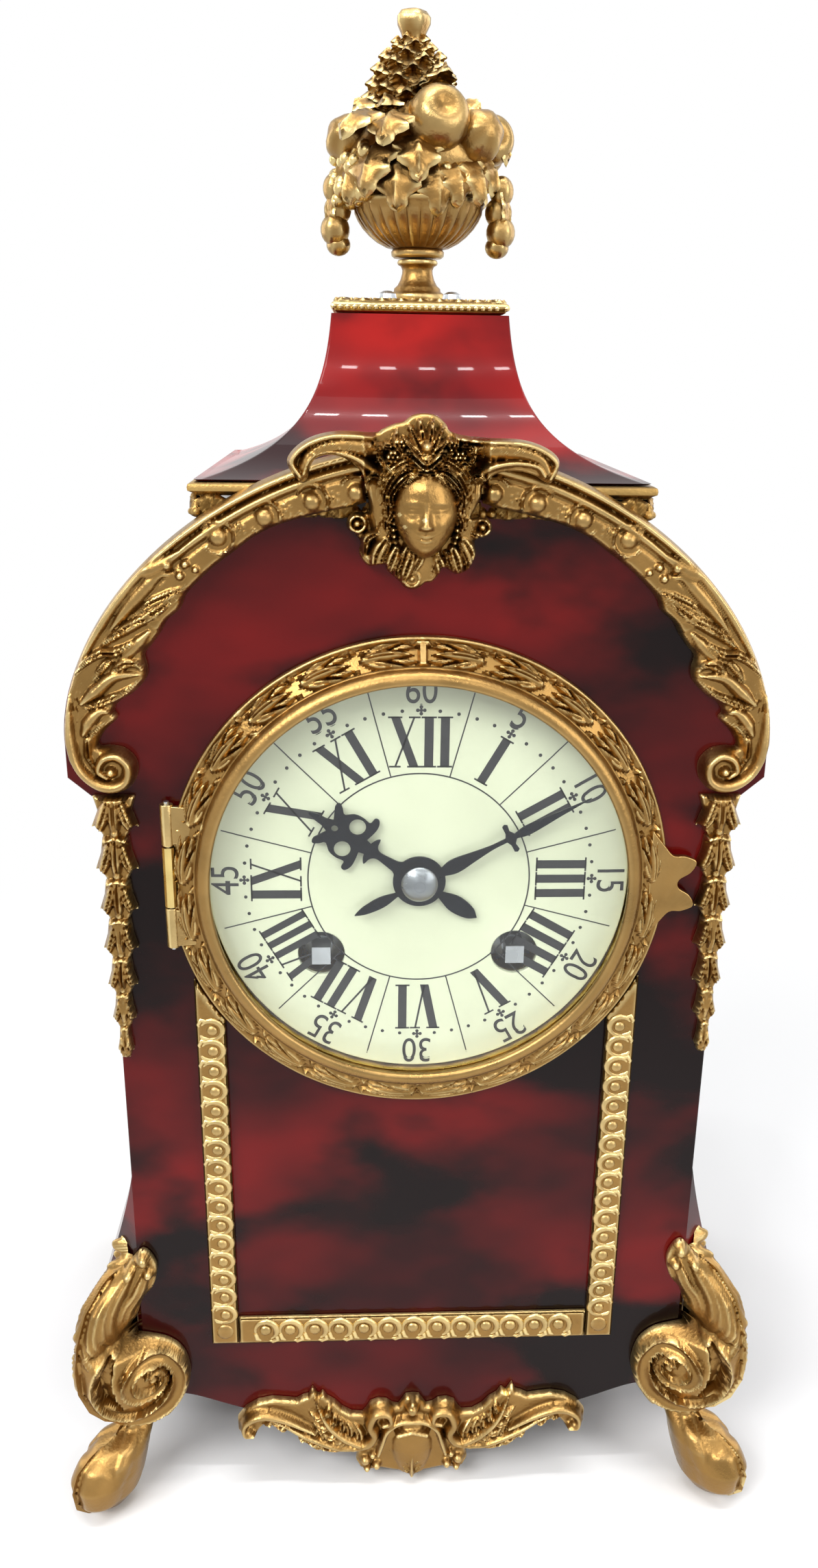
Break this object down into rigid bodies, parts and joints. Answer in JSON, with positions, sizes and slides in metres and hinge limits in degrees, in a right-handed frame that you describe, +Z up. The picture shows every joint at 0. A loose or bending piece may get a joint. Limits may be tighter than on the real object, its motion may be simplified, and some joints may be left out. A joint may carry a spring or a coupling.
{
  "type": "bracket clock",
  "caption": "Arched bracket clock in red veneer with a pagoda roof, fruit finial, gilt scroll feet and mounts, a hinged glazed bezel, white Roman dial and a striking pendulum movement.",
  "frame": {"origin": "on the floor under the middle of the case", "axes": "+Z up, -Y out of the dial towards the viewer, +X to the viewer's right"},
  "size_m": [0.1686, 0.1218, 0.3324],
  "materials": {
    "veneer": "high gloss tortoiseshell-pattern veneer",
    "roof_veneer": "high gloss red veneer",
    "dark_wood": "ebonised, satin",
    "gilt_bronze": "gilt, satin with burnished highlights",
    "clear_glass": "polished, bevelled edge",
    "white_enamel": "gloss enamel",
    "blued_steel": "blued, polished",
    "lacquered_brass": "polished and lacquered",
    "bell_metal": "turned, bright",
    "polished_steel": "polished"
  },
  "bodies": {
    "case": {"case_shell": "veneer", "front_panel": "veneer", "back_panel": "dark_wood", "base_board": "dark_wood", "roof_band": "gilt_bronze", "roof": "roof_veneer", "cap_plate": "gilt_bronze", "cap_screw_left": "polished_steel", "cap_screw_right": "polished_steel", "finial_stem": "gilt_bronze", "finial_bowl": "gilt_bronze", "finial_fruit": "gilt_bronze", "arch_mount_right": "gilt_bronze", "arch_mount_left": "gilt_bronze", "mask_mount": "gilt_bronze", "husk_right": "gilt_bronze", "husk_left": "gilt_bronze", "foot_front_right": "gilt_bronze", "foot_front_left": "gilt_bronze", "foot_back_right": "gilt_bronze", "foot_back_left": "gilt_bronze", "apron_mount": "gilt_bronze", "panel_strip_right": "gilt_bronze", "panel_strip_left": "gilt_bronze", "panel_strip_bottom": "gilt_bronze", "dial_ring": "lacquered_brass", "dial": "white_enamel", "dial_pan": "lacquered_brass", "bezel_hinge_pin": "polished_steel", "front_plate": "lacquered_brass", "back_plate": "lacquered_brass", "suspension_cock": "lacquered_brass", "bell_stand": "polished_steel", "bell": "bell_metal", "strap_left": "polished_steel", "strap_right": "polished_steel", "back_ring": "lacquered_brass", "door_hinge_pin": "polished_steel"},
    "bezel_door": {"bezel": "gilt_bronze", "bezel_glass": "clear_glass"},
    "rear_door": {"back_door": "lacquered_brass"},
    "door_catch": {"door_knob": "lacquered_brass"},
    "minute_work": {"centre_wheel": "lacquered_brass", "minute_hand": "blued_steel", "hand_collet": "polished_steel"},
    "hour_work": {"hour_wheel": "lacquered_brass", "hour_hand": "blued_steel"},
    "minute_wheel": {"minute_wheel": "lacquered_brass"},
    "going_barrel": {"going_barrel": "lacquered_brass"},
    "second_wheel": {"second_wheel": "lacquered_brass"},
    "third_wheel": {"third_wheel": "lacquered_brass"},
    "escape_wheel": {"escape_wheel": "lacquered_brass"},
    "pallets": {"pallet_anchor": "polished_steel"},
    "pendulum": {"pendulum_rod": "polished_steel", "pendulum_bob": "lacquered_brass"},
    "going_winder": {"going_winder": "polished_steel"},
    "strike_winder": {"strike_winder": "polished_steel"},
    "strike_barrel": {"strike_barrel": "lacquered_brass"},
    "strike_wheel": {"strike_wheel": "lacquered_brass"},
    "hammer": {"hammer": "polished_steel"}
  },
  "joints": [
    {"name": "bezel_hinge", "type": "hinge", "parent": "case", "child": "bezel_door", "pos_m": [-0.052, -0.0458, 0.1648], "axis": [0, 0, -1], "range_deg": [0, 110]},
    {"name": "rear_door_hinge", "type": "hinge", "parent": "case", "child": "rear_door", "pos_m": [0.052, 0.0458, 0.163], "axis": [0, 0, -1], "range_deg": [0, 110]},
    {"name": "door_catch_turn", "type": "hinge", "parent": "rear_door", "child": "door_catch", "pos_m": [-0.0406, 0.047, 0.163], "axis": [0, 1, 0], "range_deg": [-90, 90]},
    {"name": "minute_turn", "type": "hinge", "parent": "case", "child": "minute_work", "pos_m": [0, 0, 0.163], "axis": [0, 1, 0], "continuous": true},
    {"name": "hour_turn", "type": "hinge", "parent": "case", "child": "hour_work", "pos_m": [0, 0, 0.163], "axis": [0, 1, 0], "continuous": true},
    {"name": "minute_wheel_turn", "type": "hinge", "parent": "case", "child": "minute_wheel", "pos_m": [0, 0, 0.175], "axis": [0, 1, 0], "continuous": true},
    {"name": "second_wheel_turn", "type": "hinge", "parent": "case", "child": "second_wheel", "pos_m": [0.017, 0, 0.16715], "axis": [0, 1, 0], "continuous": true},
    {"name": "going_barrel_turn", "type": "hinge", "parent": "case", "child": "going_barrel", "pos_m": [0.0209, 0, 0.1458], "axis": [0, 1, 0], "continuous": true},
    {"name": "third_wheel_turn", "type": "hinge", "parent": "case", "child": "third_wheel", "pos_m": [-0.00547, 0, 0.17803], "axis": [0, 1, 0], "continuous": true},
    {"name": "escape_wheel_turn", "type": "hinge", "parent": "case", "child": "escape_wheel", "pos_m": [0, 0, 0.18985], "axis": [0, 1, 0], "continuous": true},
    {"name": "pendulum_swing", "type": "hinge", "parent": "case", "child": "pendulum", "pos_m": [0, 0, 0.20045], "axis": [0, 1, 0], "range_deg": [-4, 4]},
    {"name": "pallets_rock", "type": "hinge", "parent": "case", "child": "pallets", "pos_m": [0, 0, 0.20045], "axis": [0, 1, 0], "range_deg": [-4, 4]},
    {"name": "going_winding", "type": "hinge", "parent": "case", "child": "going_winder", "pos_m": [0.0209, 0, 0.1458], "axis": [0, 1, 0], "continuous": true},
    {"name": "strike_winding", "type": "hinge", "parent": "case", "child": "strike_winder", "pos_m": [-0.0209, 0, 0.1458], "axis": [0, 1, 0], "continuous": true},
    {"name": "strike_barrel_turn", "type": "hinge", "parent": "case", "child": "strike_barrel", "pos_m": [-0.0209, 0, 0.1458], "axis": [0, 1, 0], "continuous": true},
    {"name": "strike_wheel_turn", "type": "hinge", "parent": "case", "child": "strike_wheel", "pos_m": [-0.017, 0, 0.16715], "axis": [0, 1, 0], "continuous": true},
    {"name": "hammer_lift", "type": "hinge", "parent": "case", "child": "hammer", "pos_m": [-0.0345, 0, 0.177], "axis": [0, -1, 0], "range_deg": [0, 20], "stiffness_Nm_per_rad": 0.001}
  ],
  "couplings": [
    {"joint": "hour_turn", "follows": "minute_turn", "ratio": 0.083333},
    {"joint": "minute_wheel_turn", "follows": "minute_turn", "ratio": -0.33333},
    {"joint": "second_wheel_turn", "follows": "minute_turn", "ratio": -0.16667},
    {"joint": "going_barrel_turn", "follows": "minute_turn", "ratio": 0.027778},
    {"joint": "third_wheel_turn", "follows": "minute_turn", "ratio": -7},
    {"joint": "escape_wheel_turn", "follows": "minute_turn", "ratio": 47.25},
    {"joint": "pallets_rock", "follows": "pendulum_swing", "ratio": 1},
    {"joint": "strike_wheel_turn", "follows": "strike_barrel_turn", "ratio": -6}
  ]
}
